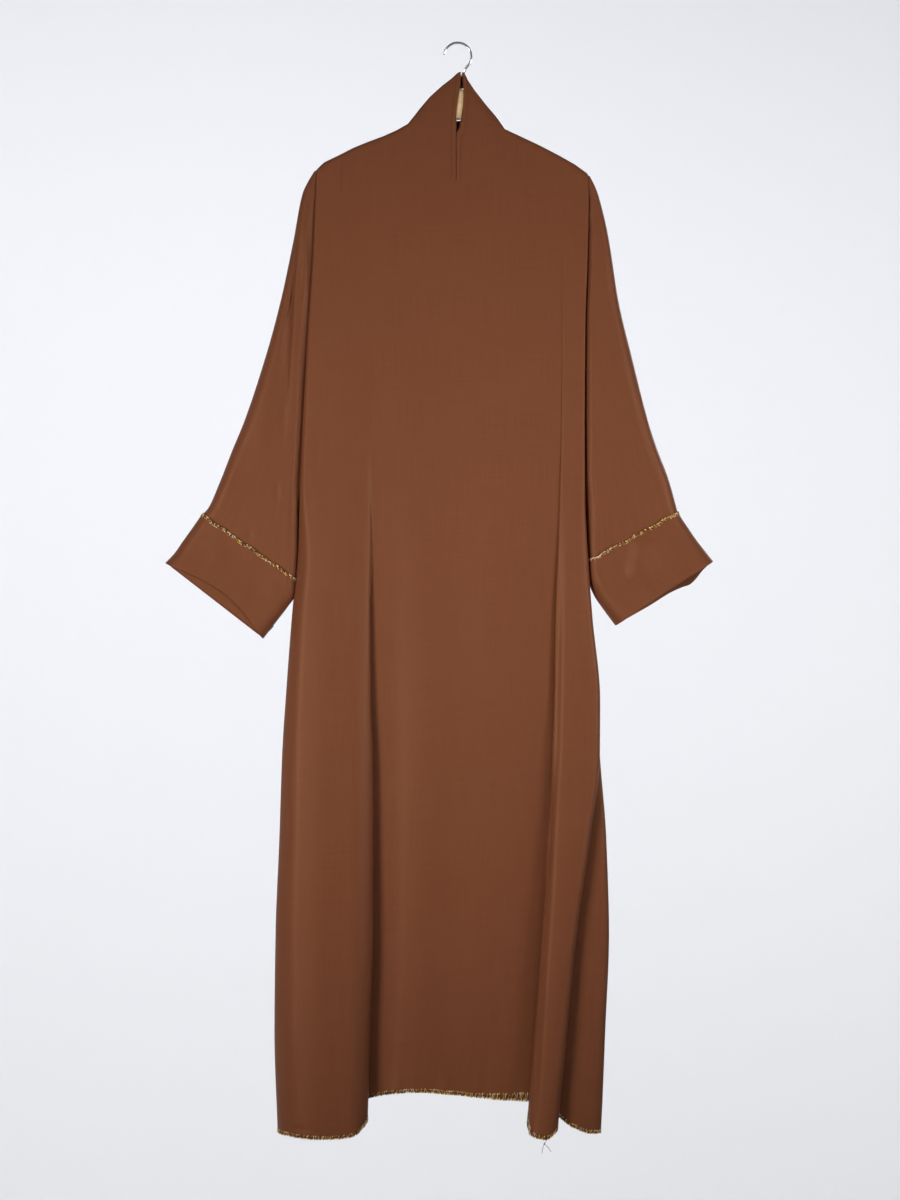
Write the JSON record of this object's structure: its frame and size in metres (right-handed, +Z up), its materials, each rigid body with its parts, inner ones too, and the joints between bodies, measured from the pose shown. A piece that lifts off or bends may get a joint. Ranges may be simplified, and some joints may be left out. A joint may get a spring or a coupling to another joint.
{
  "type": "abaya on a hanger",
  "caption": "Plain closed batwing abaya with deep turned-back cuffs, a slit neck drawn up to the hook, hanging flat on a wooden hanger.",
  "frame": {"origin": "the hanging point: under the top of the hook's curve, in the hanger's middle plane", "axes": "+Z up, -Y out of the garment's front, +X to the right as seen from the front"},
  "size_m": [0.7961, 0.1012, 1.5803],
  "materials": {
    "cloth": "soft matt crepe with a faint sheen",
    "wood": "clear satin varnish",
    "wire": "bright plated",
    "gold_thread": "glittering metallic yarn",
    "sewing_thread": "matt spun thread"
  },
  "bodies": {
    "root": {"front_body": "cloth", "back_body": "cloth", "front_sleeve_left": "cloth", "front_sleeve_right": "cloth", "back_sleeve_left": "cloth", "back_sleeve_right": "cloth", "cuff_left": "cloth", "cuff_right": "cloth", "hanger_bar": "wood", "hanger_hook": "wire"}
  },
  "joints": []
}
